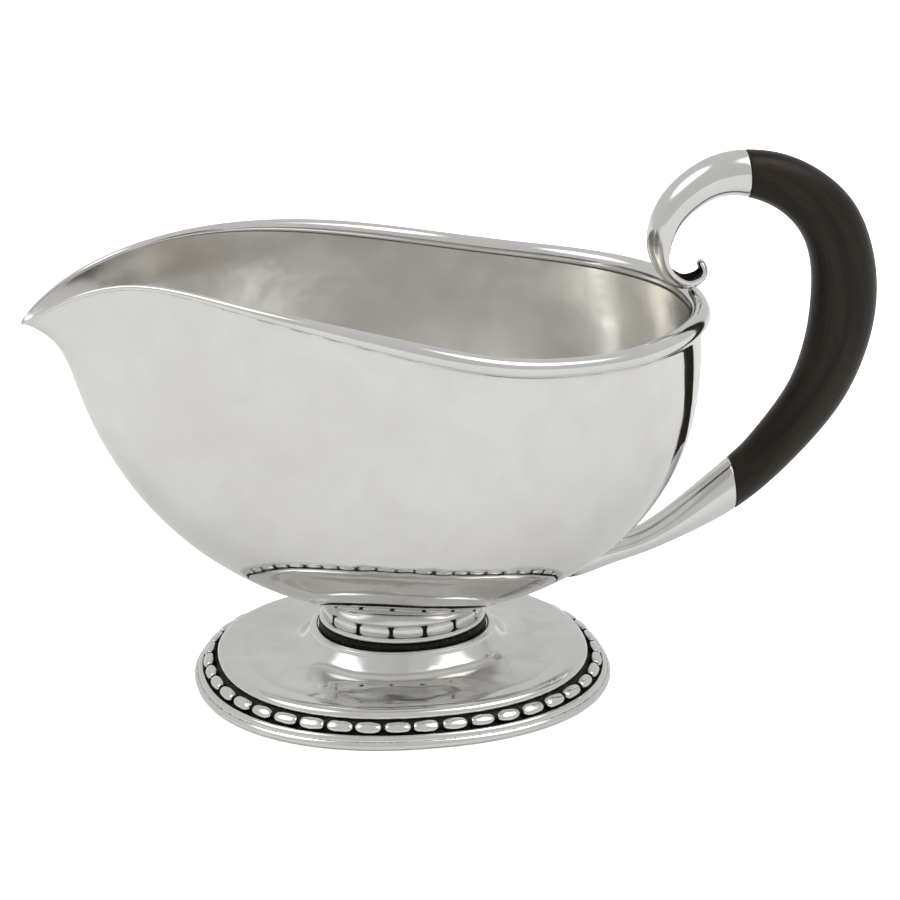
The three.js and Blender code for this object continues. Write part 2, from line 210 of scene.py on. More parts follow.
# ---------------------------------------------------------------- meshes
def skin(rings, looped=False):
    """Points and faces of a closed body through rings of points, with end caps unless looped."""
    rings = np.asarray(rings, float)
    levels, sides = rings.shape[:2]
    points = rings.reshape(-1, 3)
    low = np.arange(levels if looped else levels - 1)[:, None] * sides
    high = (low + sides) % (levels * sides)
    here = np.arange(sides)[None, :]
    there = (here + 1) % sides
    quads = np.stack([low + here, low + there, high + there, high + here], axis=2).reshape(-1, 4)
    faces = quads.tolist()
    if not looped:
        hubs = [len(points), len(points) + 1]
        points = np.vstack([points, rings[0].mean(axis=0), rings[-1].mean(axis=0)])
        last = (levels - 1) * sides
        for i in range(sides):
            j = (i + 1) % sides
            faces.append([j, i, hubs[0]])
            faces.append([last + i, last + j, hubs[1]])
    return points, faces


def make_piece(name, points, faces, materials, replaces=(), *,
               face_material=None, sharp=50, attributes=None):
    """A finished piece from points in millimetres; it rides on the body and stands for its CAD nodes."""
    mesh = bpy.data.meshes.new(name)
    mesh.from_pydata(((np.asarray(points) + FOOT_CENTRE) * MM).tolist(), [], faces)
    for material in materials:
        mesh.materials.append(material)
    if face_material is not None:
        mesh.polygons.foreach_set("material_index", np.asarray(face_material, np.int32))
    for key, values in (attributes or {}).items():
        values = np.asarray(values, np.float32)
        kind = "FLOAT" if values.ndim == 1 else "FLOAT_VECTOR"
        field = "value" if values.ndim == 1 else "vector"
        mesh.attributes.new(key, kind, "POINT").data.foreach_set(field, values.ravel())
    work = bmesh.new()
    work.from_mesh(mesh)
    bmesh.ops.recalc_face_normals(work, faces=work.faces)
    work.to_mesh(mesh)
    work.free()
    mesh.shade_smooth()
    mesh.set_sharp_from_angle(angle=math.radians(sharp))
    piece = bpy.data.objects.new(name, mesh)
    bpy.context.scene.collection.objects.link(piece)
    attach(piece, "root")
    if replaces:
        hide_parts(*replaces)


def wobble(points, size, depth, seed=0):
    """Soft random heights, such as planishing marks leave, of one width and one half height."""
    shift = Vector((seed * 17.3, seed * 5.1, seed * 9.7))
    return depth * np.array([noise.noise(Vector(p) / size + shift) for p in points])


def loop_frames(points):
    """Outward and upward directions across a closed loop."""
    along = unit(np.roll(points, -1, axis=0) - np.roll(points, 1, axis=0))
    out = unit(np.stack([along[:, 1], -along[:, 0], np.zeros(len(points))], axis=1))
    return out, unit(np.cross(out, along))


def loop_wire(points, sides, deep, high, turn_power=1.0, tilt=0.0):
    """Rings of a wire round a closed loop; deep and high are its half sizes at each point, untilted."""
    out, up = loop_frames(points)
    out, up = math.cos(tilt) * out + math.sin(tilt) * up, math.cos(tilt) * up - math.sin(tilt) * out
    turn = even_turns(sides)
    across = np.sign(np.cos(turn)) * np.abs(np.cos(turn))**turn_power
    upward = np.sign(np.sin(turn)) * np.abs(np.sin(turn))**turn_power
    return (points[:, None] + out[:, None] * (deep[:, None] * across)[..., None]
            + up[:, None] * (high[:, None] * upward)[..., None])


# ---------------------------------------------------------------- materials
BRIGHT = (0.76, 0.757, 0.742)
BRIGHT_DULL = (0.715, 0.708, 0.688)
# The inside's silver is the same metal painted brighter than the outside's: painted light for the inside
# of the bowl.
INSIDE_PAINTED_BRIGHTER = (0.88, 0.868, 0.842)
INSIDE_DULL_PAINTED_BRIGHTER = (0.82, 0.805, 0.772)
# Dark colour of tarnish; the silver also uses it as painted shade in creases, seams and under the beads.
TARNISH_AND_SHADE = (0.022, 0.020, 0.018)


def add_node(tree, kind, inputs=None, **settings):
    """A new node with its settings; an input is a value, or a socket to link from."""
    node = tree.nodes.new(kind)
    for key, value in settings.items():
        setattr(node, key, value)
    for key, value in (inputs or {}).items():
        socket = node.inputs[key]
        if isinstance(value, bpy.types.NodeSocket):
            tree.links.new(value, socket)
        else:
            socket.default_value = value
    return node


def new_material(name):
    material = bpy.data.materials.new(name)
    material.use_nodes = True
    tree = material.node_tree
    return material, tree, tree.nodes["Principled BSDF"]


def stretched(tree, source, scale):
    return add_node(tree, "ShaderNodeVectorMath", {0: source, 1: scale}, operation="MULTIPLY").outputs[0]


def clouds(tree, source, scale, detail=3.0, distortion=0.0, roughness=0.5):
    return add_node(tree, "ShaderNodeTexNoise", {
        "Vector": source, "Scale": scale, "Detail": detail,
        "Roughness": roughness, "Distortion": distortion,
    }).outputs["Fac"]


def spread(tree, value, low, high, to_low=0.0, to_high=1.0):
    """Maps a value from one range to another, clamped."""
    return add_node(tree, "ShaderNodeMapRange", {
        "Value": value, "From Min": low, "From Max": high, "To Min": to_low, "To Max": to_high,
    }).outputs["Result"]


def arithmetic(tree, operation, a, b):
    return add_node(tree, "ShaderNodeMath", {0: a, 1: b}, operation=operation).outputs[0]


def blend_colour(tree, share, first, second):
    mix = add_node(tree, "ShaderNodeMix", data_type="RGBA")
    for index, value in ((0, share), (6, first), (7, second)):
        if isinstance(value, bpy.types.NodeSocket):
            tree.links.new(value, mix.inputs[index])
        elif index == 0:
            mix.inputs[index].default_value = value
        else:
            mix.inputs[index].default_value = (*value, 1)
    return mix.outputs[2]


def relief(tree, height, distance, strength=1.0, below=None):
    inputs = {"Height": height, "Distance": distance, "Strength": strength}
    if below is not None:
        inputs["Normal"] = below
    return add_node(tree, "ShaderNodeBump", inputs).outputs[0]


def silver(name, tone, dull_tone, roughness, hammer, scratch, mottle=0.35):
    """Polished silver: hammer marks, hairlines, cloudy polish, and a dark tarnish colour where the mesh
    marks it, which is real tarnish in some hollows and painted shade in creases, seams and under beads.
    """
    material, tree, surface = new_material(name)
    place = add_node(tree, "ShaderNodeTexCoord").outputs["Object"]
    patina_and_shade = add_node(tree, "ShaderNodeAttribute", attribute_name="patina_and_shade").outputs["Fac"]
    cloud = clouds(tree, place, 34, detail=4, distortion=0.6)
    smudge = clouds(tree, place, 90, detail=3, distortion=0.8)
    marks = clouds(tree, place, 105, detail=1.5, distortion=0.3)
    hairs = [clouds(tree, stretched(tree, place, direction), 900, detail=1)
             for direction in ((1.0, 1.0, 0.04), (0.04, 1.0, 1.0))]
    hair = spread(tree, arithmetic(tree, "MAXIMUM", hairs[0], hairs[1]), 0.62, 0.78)
    colour = blend_colour(tree, spread(tree, cloud, 0.35, 0.68), tone, dull_tone)
    faded = tuple(0.9 * channel for channel in dull_tone)
    colour = blend_colour(tree, spread(tree, smudge, 0.4, 0.72, 0.0, mottle), colour, faded)
    # Darkened toward the tarnish colour where the mesh marks it: partly real tarnish, partly painted
    # shade in creases and seams. The noise only roughens the edge of the darkened parts.
    darkening_jitter = clouds(tree, place, 1400, detail=3)
    uneven = arithmetic(tree, "ADD", patina_and_shade, spread(tree, darkening_jitter, 0.3, 0.7, -0.22, 0.22))
    dark = spread(tree, uneven, 0.42, 0.72)
    colour = blend_colour(tree, dark, colour, TARNISH_AND_SHADE)
    rough = arithmetic(tree, "ADD", spread(tree, smudge, 0.35, 0.75, roughness[0], roughness[1]),
                       arithmetic(tree, "MULTIPLY", hair, 30 * scratch))
    rough = arithmetic(tree, "ADD", rough, arithmetic(tree, "MULTIPLY", dark, 0.38))
    normal = relief(tree, marks, hammer * MM)
    normal = relief(tree, hair, scratch * MM, below=normal)
    tree.links.new(colour, surface.inputs["Base Color"])
    tree.links.new(rough, surface.inputs["Roughness"])
    tree.links.new(normal, surface.inputs["Normal"])
    surface.inputs["Metallic"].default_value = 1
    return material


def oxidised_silver():
    """Blackened recess: nearly black with a dull metallic glint and a grainy, unpolished surface."""
    material, tree, surface = new_material("oxidised_recess")
    place = add_node(tree, "ShaderNodeTexCoord").outputs["Object"]
    grain = clouds(tree, place, 1900, detail=4)
    worn = spread(tree, clouds(tree, place, 1100, detail=4, roughness=0.7), 0.58, 0.72)
    colour = blend_colour(tree, worn, (0.010, 0.0095, 0.009), (0.11, 0.107, 0.10))
    tree.links.new(colour, surface.inputs["Base Color"])
    tree.links.new(spread(tree, grain, 0.3, 0.7, 0.32, 0.6), surface.inputs["Roughness"])
    tree.links.new(relief(tree, grain, 0.12 * MM), surface.inputs["Normal"])
    surface.inputs["Metallic"].default_value = 0.7
    return material


def ebony():
    """Oiled ebony: near black with brown growth streaks and fine open pores along the handle."""
    material, tree, surface = new_material("ebony")
    grain_place = add_node(tree, "ShaderNodeAttribute", attribute_name="grain").outputs["Vector"]
    fibres = clouds(tree, stretched(tree, grain_place, (0.05, 1.0, 1.0)), 1500, detail=4, roughness=0.6)
    streak = clouds(tree, stretched(tree, grain_place, (0.12, 1.0, 1.0)), 190, detail=4, distortion=0.5)
    pores = clouds(tree, stretched(tree, grain_place, (0.09, 1.0, 1.0)), 2600, detail=1)
    pores = spread(tree, pores, 0.66, 0.74)
    smear = clouds(tree, grain_place, 60, detail=3)
    colour = blend_colour(tree, spread(tree, streak, 0.38, 0.62),
                          (0.0075, 0.0056, 0.0032), (0.03, 0.0195, 0.0098))
    threads = spread(tree, fibres, 0.3, 0.75, 0.0, 0.55)
    colour = blend_colour(tree, threads, colour, (0.013, 0.0092, 0.0055))
    colour = blend_colour(tree, pores, colour, (0.006, 0.005, 0.004))
    rough = arithmetic(tree, "ADD", spread(tree, smear, 0.3, 0.7, 0.3, 0.42),
                       arithmetic(tree, "MULTIPLY", pores, 0.2))
    normal = relief(tree, fibres, 0.03 * MM)
    normal = relief(tree, arithmetic(tree, "MULTIPLY", pores, -1.0), 0.05 * MM, below=normal)
    tree.links.new(colour, surface.inputs["Base Color"])
    tree.links.new(rough, surface.inputs["Roughness"])
    tree.links.new(normal, surface.inputs["Normal"])
    surface.inputs["Specular IOR Level"].default_value = 0.2
    surface.inputs["Coat Weight"].default_value = 0.1
    surface.inputs["Coat Roughness"].default_value = 0.28
    return material


WALL_SILVER = silver("planished_silver", BRIGHT, BRIGHT_DULL, (0.03, 0.10), hammer=0.13, scratch=0.001)
INSIDE_SILVER = silver("satin_inside_silver", INSIDE_PAINTED_BRIGHTER, INSIDE_DULL_PAINTED_BRIGHTER, (0.17, 0.25),
                       hammer=0.16, scratch=0.0, mottle=0.9)
DISH_SILVER = silver("worn_dish_silver", BRIGHT, BRIGHT_DULL, (0.08, 0.22),
                     hammer=0.26, scratch=0.0012, mottle=0.8)
CAST_SILVER = silver("polished_silver", BRIGHT, BRIGHT_DULL, (0.06, 0.13), hammer=0.03, scratch=0.001)
HANDLE_SILVER = silver("worn_handle_silver", BRIGHT, BRIGHT_DULL, (0.11, 0.19),
                       hammer=0.06, scratch=0.0012)
BEAD_SILVER = silver("chased_silver", BRIGHT, BRIGHT_DULL, (0.09, 0.18), hammer=0.02, scratch=0.002)
RECESS = oxidised_silver()
EBONY = ebony()


# ---------------------------------------------------------------- bowl and rim wire
RIM_COUNT = 360
BODY_LEVELS = 90
LIP_LEVELS = 22
LIP_START = 0.94
FILLET = (4.0, 0.67)  # radius of the fillet under the wire at the spout and elsewhere, in wire radii
FILLET_TAPER = (-55, -5)
TIP_SHARE = 0.55  # how thin the wire is drawn at the very tip
TIP_TAPER = (-86, -72)


def swell(rise, powers):
    """Share of its full reach that a wall has at a rise, from 0 at the bottom to 1 at the rim."""
    bend, rounding = powers
    return (1 - (1 - rise)**bend)**(1 / rounding)


def egg_cosine(x):
    """Cosine of a rim point's angle round the egg-shaped plan: 1 at the spout, -1 at the back."""
    front = WIDEST_AT - RIM[0][0]
    back = RIM[-1][0] - WIDEST_AT
    mean, lean = (front + back) / 2, (front - back) / 2
    root = np.sqrt(mean**2 + 4 * lean * (WIDEST_AT - x))
    return np.clip((root - mean) / (2 * lean), -1, 1)


def station_at(cosine, rise):
    """Place along the boat of the bowl's outside at an angle round the plan and a rise."""
    middle = WIDEST_AT * np.sqrt(rise)
    front = SPOUT_REACH * swell(rise, SPOUT_SWELL) + middle
    back = BACK_REACH * swell(rise, BACK_SWELL) - middle
    late = FLARE_POWER[0] + FLARE_POWER[1] * cosine**4
    flare = np.where(cosine > 0, SPOUT_FLARE * rise**late * cosine**2, 0)
    return middle - (front + back) / 2 * cosine - (front - back) / 2 * cosine**2 - flare


def bowl_points(rim, rise):
    """Points of the bowl's outside below the rim points, from rise 0 at the bottom to 1 at the rim."""
    cosine = egg_cosine(rim[:, 0])
    sine = np.sqrt(1 - cosine**2) * np.sign(rim[:, 1])
    drift = rim[:, 0] - station_at(cosine, 1.0)
    plan = lerp(sine, rim[:, 1] / HALF_WIDTH, rise**PINCH_POWER)
    return np.stack([
        station_at(cosine, rise) + drift * rise**3,
        HALF_WIDTH * swell(rise, SIDE_SWELL) * plan,
        lerp(BOWL_BOTTOM, rim[:, 2], rise),
    ], axis=1)


def wire_radius(x):
    """Radius of the rim wire: drawn thin at the spout's tip, and a little thicker by the handle."""
    thicker = BACK_WIRE["thicker"] * smoothstep(x, BACK_WIRE["start"], BACK_WIRE["end"])
    full = lerp(*WIRE_RADIUS, smoothstep(x, *WIRE_TAPER)) + thicker
    return full * lerp(TIP_SHARE, 1.0, smoothstep(x, *TIP_TAPER))


def within(points, node):
    """The points, with any that stand out sideways or above a CAD node's box drawn back to it."""
    low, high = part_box(node)
    low = np.array(low) / MM - FOOT_CENTRE
    high = np.array(high) / MM - FOOT_CENTRE
    return np.clip(points, [low[0], low[1], -np.inf], high)


def grid_normals(rings):
    """Outward directions at the points of a grid of rings, stacked from the bottom up."""
    around = np.roll(rings, -1, axis=1) - np.roll(rings, 1, axis=1)
    up = np.empty_like(rings)
    up[1:-1] = rings[2:] - rings[:-2]
    up[0] = rings[1] - rings[0]
    up[-1] = rings[-1] - rings[-2]
    return unit(np.cross(up, around))


def rim_loop():
    """Even points round the whole rim, from the tip of the spout."""
    mirrored = [(x, -y, z) for x, y, z in RIM[1:-1][::-1]]
    rim = closed_curve(RIM + mirrored, RIM_COUNT)
    rim[:, 0] = np.clip(rim[:, 0], RIM[0][0], RIM[-1][0])
    return rim


def wall_swelling(below, x):
    """How far the wall stands out into the fillet under the wire, at distances below the rim."""
    radius = wire_radius(x)
    fillet = lerp(*FILLET, smoothstep(x, *FILLET_TAPER))
    start = radius * np.sqrt(1 + 2 * fillet)
    curve = np.sqrt(np.maximum((fillet * radius)**2 - np.clip(start - below, 0, None)**2, 0))
    swelling = np.where(below < start, fillet * radius - curve, 0)
    inside_wire = np.sqrt(np.maximum((0.97 * radius)**2 - below**2, 0))
    return np.where(below < radius, np.minimum(swelling, inside_wire), swelling)


def make_bowl(rim):
    """Raised bowl, planished outside and satin inside, whose wall swells into the wire in a soft fillet.

    Returns the grid of points of its outside.
    """
    body = np.sin(math.pi / 2 * (np.arange(BODY_LEVELS) + 1) / BODY_LEVELS)**3 * LIP_START
    lip = lerp(LIP_START, 1.0, np.arange(1, LIP_LEVELS + 1) / LIP_LEVELS)
    outside = np.array([bowl_points(rim, rise) for rise in [*body, *lip]])
    normals = grid_normals(outside)
    below = np.linalg.norm(outside - rim, axis=2)
    calm = smoothstep(below, 2, 8)
    outer_marks = wobble(outside.reshape(-1, 3), 9.0, 0.035).reshape(below.shape)
    outer = outside + normals * (wall_swelling(below, rim[:, 0]) + outer_marks * calm)[..., None]
    lining = outside - normals * SHEET
    inner_marks = wobble(lining.reshape(-1, 3), 10.0, 0.07, seed=3).reshape(below.shape)
    radius = wire_radius(rim[:, 0])
    sheet = lerp(0.72 * radius, SHEET, smoothstep(below, 1, 12))
    inner = outside - normals * (sheet + inner_marks * calm)[..., None]
    upward = unit(outside[-1] - outside[-2])
    edge = rim - normals[-1] * (0.6 * radius)[:, None] + upward * (0.79 * radius)[:, None]
    points, faces = skin(np.concatenate([outer, edge[None], inner[::-1]]))
    half = len(outside) * RIM_COUNT
    is_inside = np.zeros(len(faces), int)
    is_inside[half:2 * half] = 1
    is_inside[2 * half + 1::2] = 1  # the end caps' faces alternate, outside first
    points = within(points, "rim_wire")
    make_piece("bowl", points, faces, [WALL_SILVER, INSIDE_SILVER], ["bowl"],
               face_material=is_inside, attributes={"patina_and_shade": np.zeros(len(points))})
    return outer


def make_rim_wire(rim):
    radius = wire_radius(rim[:, 0])
    points, faces = skin(loop_wire(rim, 32, radius, radius), looped=True)
    make_piece("rim_wire", within(points, "rim_wire"), faces, [CAST_SILVER], ["rim_wire"],
               attributes={"patina_and_shade": np.zeros(len(points))})


# ---------------------------------------------------------------- foot and neck
OVAL_SEGMENTS = 300


def profile(*runs):
    """Closed outline of (radius, height) from runs: straight between two points, smooth through more."""
    parts = []
    for run in runs:
        run = np.asarray(run, float)
        length = arc_lengths(run)[-1]
        if len(run) == 2:
            parts.append(evenly(run, 3)[:-1])
        else:
            parts.append(open_curve(run, max(8, int(length / 0.22)))[:-1])
    return np.vstack(parts)


def oval_rings(outline, power):
    """An outline turned round an oval: one ring of section points for each step round."""
    turn = even_turns(OVAL_SEGMENTS)
    return oval_points(turn[:, None], outline[None, :, 0], outline[None, :, 1], power)


def make_oval(name, outline, material, replaces=(), power=2.0, marks=0.0, patina_and_shade=None):
    points, faces = skin(oval_rings(outline, power), looped=True)
    if marks:
        points = points + np.array([0, 0, 1.0]) * wobble(points, 7.5, marks, seed=5)[:, None]
    shade = np.zeros(len(points)) if patina_and_shade is None else np.tile(patina_and_shade(outline), OVAL_SEGMENTS)
    make_piece(name, points, faces, [material], replaces, attributes={"patina_and_shade": shade})


def near(spot, reach, dark):
    """Darkness of a section within reach of one spot; the foot moulding uses it as painted shade in its
    groove.
    """
    def patina_and_shade(outline):
        away = np.linalg.norm(outline - spot, axis=1)
        return dark * (1 - smoothstep(away, 0.4 * reach, reach))

    return patina_and_shade


def make_foot():
    """Oval foot: edge moulding in two rolls, blackened bed, beads, inner wire and bell-shaped dish."""
    # Painted shade: the groove between the moulding's two rolls is darkened.
    make_oval("foot_edge_moulding", profile(
        [(43.2, 0), (49.0, 0)],
        [(49.0, 0), (49.65, 0.35), (49.93, 1.0), (49.72, 1.6), (49.3, 2.02)],
        [(49.3, 2.02), (49.2, 2.07)],
        [(49.2, 2.07), (49.16, 2.3), (49.0, 2.75), (48.65, 3.15), (48.2, 3.32), (47.85, 3.15),
         (47.6, 2.6)],
        [(47.6, 2.6), (43.2, 3.9)],
        [(43.2, 3.9), (43.2, 0)],
    ), CAST_SILVER, ["foot_edge_moulding"], FOOT_POWER, patina_and_shade=near((49.2, 2.07), 0.22, 0.55))
    make_oval("foot_bead_bed", profile(
        [(47.9, 2.8), (47.95, 3.12)],
        [(47.95, 3.12), (47.3, 2.95), (46.3, 3.5), (45.2, 4.2), (44.3, 4.9), (43.7, 5.6)],
        [(43.7, 5.6), (43.1, 6.1)],
        [(43.1, 6.1), (43.1, 3.6)],
        [(43.1, 3.6), (47.9, 2.8)],
    ), RECESS, power=FOOT_POWER)
    make_beads()
    make_oval("foot_inner_wire", closed_curve([
        (43.5, 5.1), (44.25, 5.45), (44.4, 6.3), (43.95, 7.05), (42.9, 7.55), (41.4, 7.62), (39.4, 7.45),
        (37.9, 7.2), (41.2, 6.7), (42.6, 5.9),
    ], 60), CAST_SILVER, ["foot_inner_wire"], FOOT_POWER)
    make_oval("foot_dish", profile(
        [(42.9, 0.8), (42.9, 5.0)],
        [(42.9, 5.0), (42.4, 6.1), (41.2, 6.95), (38.0, 7.32), (33.0, 7.35), (29.0, 7.6), (26.4, 8.2),
         (24.6, 9.3), (23.3, 10.7), (22.4, 11.8), (22.0, 12.3)],
        [(22.0, 12.3), (21.9, 12.75), (21.5, 13.2), (21.0, 13.4), (20.5, 13.3), (20.3, 12.95)],
        [(20.3, 12.95), (17.2, 12.65)],
        [(17.2, 12.65), (17.2, 11.35)],
        [(17.2, 11.35), (20.2, 11.35), (21.3, 10.7), (22.5, 9.5), (23.8, 8.1), (25.8, 6.9), (28.6, 6.3),
         (33.0, 6.0), (37.6, 6.0), (40.4, 5.7), (41.6, 4.7)],
        [(41.6, 4.7), (41.6, 0.8)],
        [(41.6, 0.8), (42.9, 0.8)],
    ), DISH_SILVER, ["foot_dish"], FOOT_POWER, marks=0.09)


def chain(line, count, start, steps, sides, shape, seed, **form):
    """Rings and fullness of a closed wire of beads.

    shape(share, bead, random) gives half depth, half height and fullness along the beads.
    """
    loop = oval_loop(count * steps, start / count, **line)
    share = (np.arange(count * steps) % steps) / steps * 2 - 1
    bead = np.arange(count * steps) // steps
    deep, high, full = shape(share, bead, np.random.default_rng(seed))
    return loop_wire(loop, sides, deep, high, **form), full


def cushion(share, length, power):
    """How full a bead is over its length, from 0 at its ends to 1, squarer with larger powers."""
    return np.clip(1 - np.abs(share / length)**power, 0, 1)**(1 / power)


def make_beads():
    """42 chased oval beads on the foot, no two quite alike, with black between them."""
    def shape(share, bead, random):
        length = random.uniform(0.86, 0.91, BEAD_COUNT)[bead]
        height = random.uniform(0.95, 1.03, BEAD_COUNT)[bead]
        skew = random.uniform(-0.03, 0.03, BEAD_COUNT)[bead]
        power = random.uniform(2.3, 3.2, BEAD_COUNT)[bead]
        full = cushion(share - skew, length, power)
        return 0.82 * np.maximum(0.25, full)**0.8, 1.42 * np.maximum(0.25, full) * height, full

    steps, sides = 32, 22
    slope = math.radians(52)
    rings, full = chain(BEAD_LINE, BEAD_COUNT, BEAD_START, steps, sides, shape, 7,
                        turn_power=0.9, tilt=slope)
    points, faces = skin(rings, looped=True)
    points = points + wobble(points, 1.7, 0.12, seed=8)[:, None] * np.array([0.3, 0.3, 1.0])
    # Painted shade: each bead is darkened on the side that faces its bed; the dark at the bead ends is
    # the oxidised ground between them.
    open_side = smoothstep(np.cos(even_turns(sides)), -0.45, -0.1)
    patina_and_shade = 1 - open_side[None, :] * smoothstep(full, 0.35, 0.6)[:, None]
    make_piece("foot_bead_wire", points, faces, [BEAD_SILVER], ["foot_bead_wire"],
               attributes={"patina_and_shade": patina_and_shade.ravel()}, sharp=70)


def make_neck(bowl_outside):
    """Blackened wire, flange, band of 14 pillow beads, and the collar that carries the bowl."""
    loop = oval_loop(900, radius=19.0, height=13.7)
    full = np.ones(len(loop))
    points, faces = skin(loop_wire(loop, 20, 1.1 * full, 1.02 * full, turn_power=0.8), looped=True)
    points = points + wobble(points, 0.6, 0.05, seed=9)[:, None] * np.array([1.0, 1.0, 0.6])
    make_piece("neck_dark_wire", points, faces, [RECESS], ["neck_dark_wire"])
    make_oval("neck_flange", profile(
        [(16.6, 14.75), (19.4, 14.8)],
        [(19.4, 14.8), (19.78, 14.98), (19.92, 15.4), (19.78, 15.85), (19.3, 16.1)],
        [(19.3, 16.1), (16.6, 16.15)],
        [(16.6, 16.15), (16.6, 14.75)],
    ), CAST_SILVER, ["neck_flange"])

    def shape(share, bead, random):
        full = cushion(share, random.uniform(0.87, 0.91, PILLOW_COUNT)[bead], 5.0)
        return 1.12 * lerp(0.35, 1.0, full**0.5), 1.36 * np.maximum(0.2, full), full

    steps, sides = 64, 28
    rings, full = chain(PILLOW_LINE, PILLOW_COUNT, PILLOW_START, steps, sides, shape, 11,
                        turn_power=0.5)
    points, faces = skin(rings, looped=True)
    points = points + wobble(points, 2.5, 0.05, seed=12)[:, None] * np.array([0.5, 0.5, 1.0])
    patina_and_shade = np.repeat(1 - smoothstep(full, 0.2, 0.5), sides)
    make_piece("neck_bead_band", points, faces, [BEAD_SILVER], ["neck_bead_band"],
               attributes={"patina_and_shade": patina_and_shade}, sharp=70)
    make_oval("neck_bead_bed", profile(
        [(16.3, 16.0), (18.5, 16.0)],
        [(18.5, 16.0), (18.5, 18.9)],
        [(18.5, 18.9), (16.3, 18.9)],
        [(16.3, 18.9), (16.3, 16.0)],
    ), RECESS)
    make_collar(bowl_outside)


def underside_height(bowl_outside, radius, turn):
    """Height of the bowl's underside above points of the foot's oval."""
    body = bowl_outside[:BODY_LEVELS]
    flat = body[..., :2].reshape(-1, 2)
    heights = body[..., 2].ravel()
    spots = np.stack([radius * np.cos(turn), radius * FOOT_RATIO * np.sin(turn)], axis=1)
    gaps = np.linalg.norm(flat[None] - spots[:, None], axis=2)
    nearest = np.argsort(gaps, axis=1)[:, :6]
    weights = 1 / (np.take_along_axis(gaps, nearest, axis=1) + 0.05)**2
    return (heights[nearest] * weights).sum(axis=1) / weights.sum(axis=1)


def make_collar(bowl_outside):
    """Tube from the dish to the bowl; its collar ends in a small fillet on the bowl's underside."""
    turn = even_turns(OVAL_SEGMENTS)
    outer_top = underside_height(bowl_outside, 19.0, turn)
    inner_top = underside_height(bowl_outside, 15.2, turn)
    table, outer, inner = 0, 1, 2  # heights are from the table, or the bowl's underside at either edge
    outline = [
        (15.2, 9.8, table), (16.4, 9.8, table), (16.4, 18.6, table), (18.4, 18.62, table),
        (18.8, 18.7, table), (19.0, 19.0, table), (19.02, 19.4, table), (19.0, -0.5, outer),
        (19.1, -0.12, outer), (19.45, 0.2, outer), (18.7, 0.25, outer), (15.2, 0.1, inner),
    ]
    rings = []
    for step, angle in enumerate(turn):
        bases = (0, outer_top[step], inner_top[step])
        across, along = FOOT_RATIO * math.sin(angle), math.cos(angle)
        rings.append([(radius * along, radius * across, height + bases[base])
                      for radius, height, base in outline])
    points, faces = skin(np.array(rings), looped=True)
    # Painted shade: the collar's lip over the pillow band and its fillet on the bowl's underside are
    # darkened, standing in for the shade in these seams.
    patina_and_shade = np.tile([0, 0, 0, 0.5, 0.1, 0, 0, 0, 0.1, 0.42, 0.42, 0], OVAL_SEGMENTS)
    make_piece("neck_tube", points, faces, [CAST_SILVER], ["neck_tube"],
               attributes={"patina_and_shade": patina_and_shade}, sharp=60)


# ---------------------------------------------------------------- handle
STATIONS = np.arange(len(HANDLE), dtype=float)
CHANNEL_END = (8.3, 8.85)
SEAT_SCALE = TENON_SCALE + 0.02


def handle_at(stations):
    """Middle, half thickness vector and half width of the handle at stations."""
    edges = cubic_through(STATIONS, HANDLE, np.asarray(stations, float))
    outer = np.stack([edges[:, 0], np.zeros(len(edges)), edges[:, 1]], axis=1)
    inner = np.stack([edges[:, 2], np.zeros(len(edges)), edges[:, 3]], axis=1)
    return (outer + inner) / 2, (outer - inner) / 2, edges[:, 4]


def section(middle, thick, width, turn, scale=1.0, push=0.0):
    """One ring of the handle: turn 0 is its outer edge and pi its inner one; push moves points out."""
    across = np.array([0, 1.0, 0])
    out = (np.cos(turn) * scale + push)[:, None] * thick
    return middle + out + (np.sin(turn) * width * scale)[:, None] * across


def sections(stations, scales, turn, pushes=None):
    """Rings of the handle, one for each station."""
    pushes = np.zeros(len(scales)) if pushes is None else pushes
    return [section(middle, thick, width, turn, scale, push)
            for middle, thick, width, scale, push in zip(*handle_at(stations), scales, pushes)]


def make_grip():
    """Ebony grip with a tenon at each end, its grain running along the handle."""
    upper_end, lower_end = UPPER_JOINT - TENON_LENGTH, LOWER_JOINT + TENON_LENGTH
    shoulder = [(0, 0.8), (0, 0.975), (0.012, 0.99), (0.03, 1.0)]  # from a joint inwards
    plan = [(upper_end, TENON_SCALE * 0.9), (upper_end + 0.03, TENON_SCALE)]
    plan += [(s, TENON_SCALE) for s in np.linspace(upper_end + 0.1, UPPER_JOINT, 10)]
    plan += [(UPPER_JOINT + inward, scale) for inward, scale in shoulder]
    plan += [(s, 1.0) for s in np.linspace(UPPER_JOINT + 0.06, LOWER_JOINT - 0.06, 200)]
    plan += [(LOWER_JOINT - inward, scale) for inward, scale in shoulder[::-1]]
    plan += [(s, TENON_SCALE) for s in np.linspace(LOWER_JOINT, lower_end - 0.1, 10)]
    plan += [(lower_end - 0.03, TENON_SCALE), (lower_end, TENON_SCALE * 0.9)]
    stations, scales = np.array(plan).T
    turn = even_turns(72)
    points, faces = skin(sections(stations, scales, turn))
    middles, thicks, widths = handle_at(stations)
    grain = []
    for length, thick, width, scale in zip(arc_lengths(middles), thicks, widths, scales):
        half = np.linalg.norm(thick)
        grain.append(np.stack([np.full(len(turn), length), np.cos(turn) * half * scale,
                               np.sin(turn) * width * scale], axis=1))
    grain = np.vstack([np.concatenate(grain), grain[0].mean(axis=0), grain[-1].mean(axis=0)]) * MM
    make_piece("handle_grip", within(points, "handle_grip"), faces, [EBONY], ["handle_grip"],
               attributes={"grain": grain}, sharp=40)


